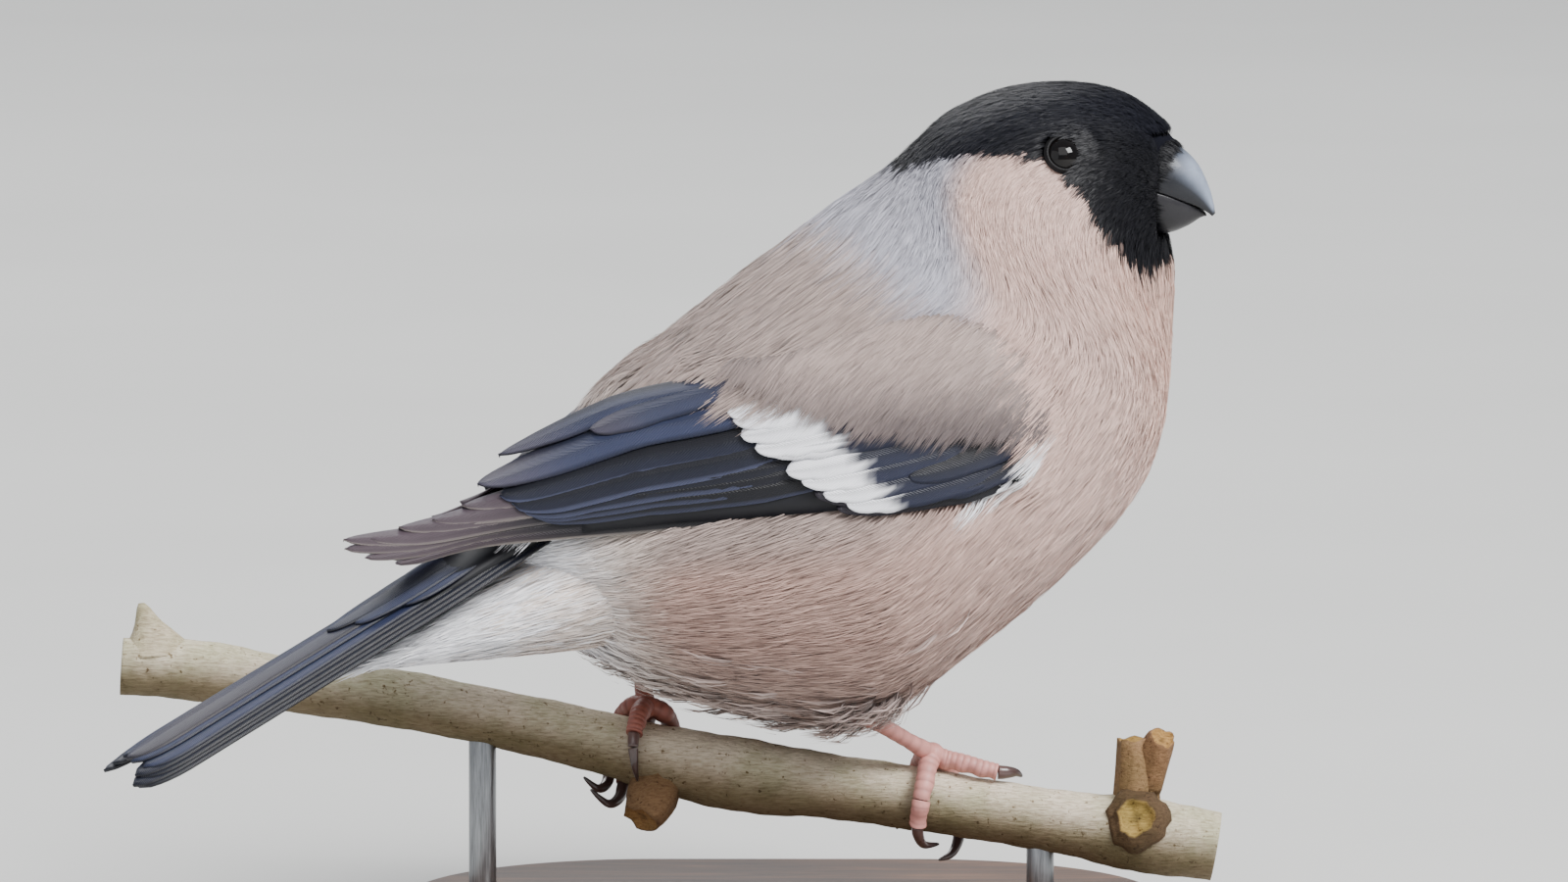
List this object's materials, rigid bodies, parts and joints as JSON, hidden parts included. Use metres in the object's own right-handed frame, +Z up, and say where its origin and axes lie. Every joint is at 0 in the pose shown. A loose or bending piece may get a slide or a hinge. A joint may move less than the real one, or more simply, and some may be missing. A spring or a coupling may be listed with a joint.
{
  "type": "hen bullfinch model on a perch",
  "caption": "Still life-size model of a perched hen bullfinch, gripping a cut length of branch that a flat base and rods hold up.",
  "frame": {"origin": "middle of the stand base's underside, on the surface that the part stands on", "axes": "+Z up, +X along the branch towards the bill's side, -Y towards the bird's right wing"},
  "size_m": [0.1294, 0.0699, 0.101],
  "materials": {
    "plumage": "soft body feathers, vinous pink-brown below and grey-brown above",
    "cap": "short glossy black head feathers",
    "flight": "stiff blue-black flight feathers with white-tipped coverts",
    "tail": "stiff steel blue-black tail feathers",
    "bill": "grey horn, smooth",
    "eye": "wet dark eye",
    "leg": "flesh-pink scaly skin",
    "claw": "dark brown horn",
    "bark": "bare grey-brown bark with pale cut faces",
    "stand_wood": "turned wood, satin oil",
    "stand_metal": "thin round rod"
  },
  "bodies": {
    "root": {"torso": "plumage", "neck": "plumage", "head": "cap", "bill_upper": "bill", "bill_lower": "bill", "eye_right": "eye", "eye_left": "eye", "wing_right": "flight", "wing_left": "flight", "tail": "tail", "leg_right": "leg", "leg_left": "leg", "foot_right": "leg", "foot_left": "leg", "claw_right_back": "claw", "claw_right_outer": "claw", "claw_right_middle": "claw", "claw_right_inner": "claw", "claw_left_back": "claw", "claw_left_outer": "claw", "claw_left_middle": "claw", "claw_left_inner": "claw", "perch": "bark", "stand_base": "stand_wood", "stand_rod_1": "stand_metal", "stand_rod_2": "stand_metal"}
  },
  "joints": []
}
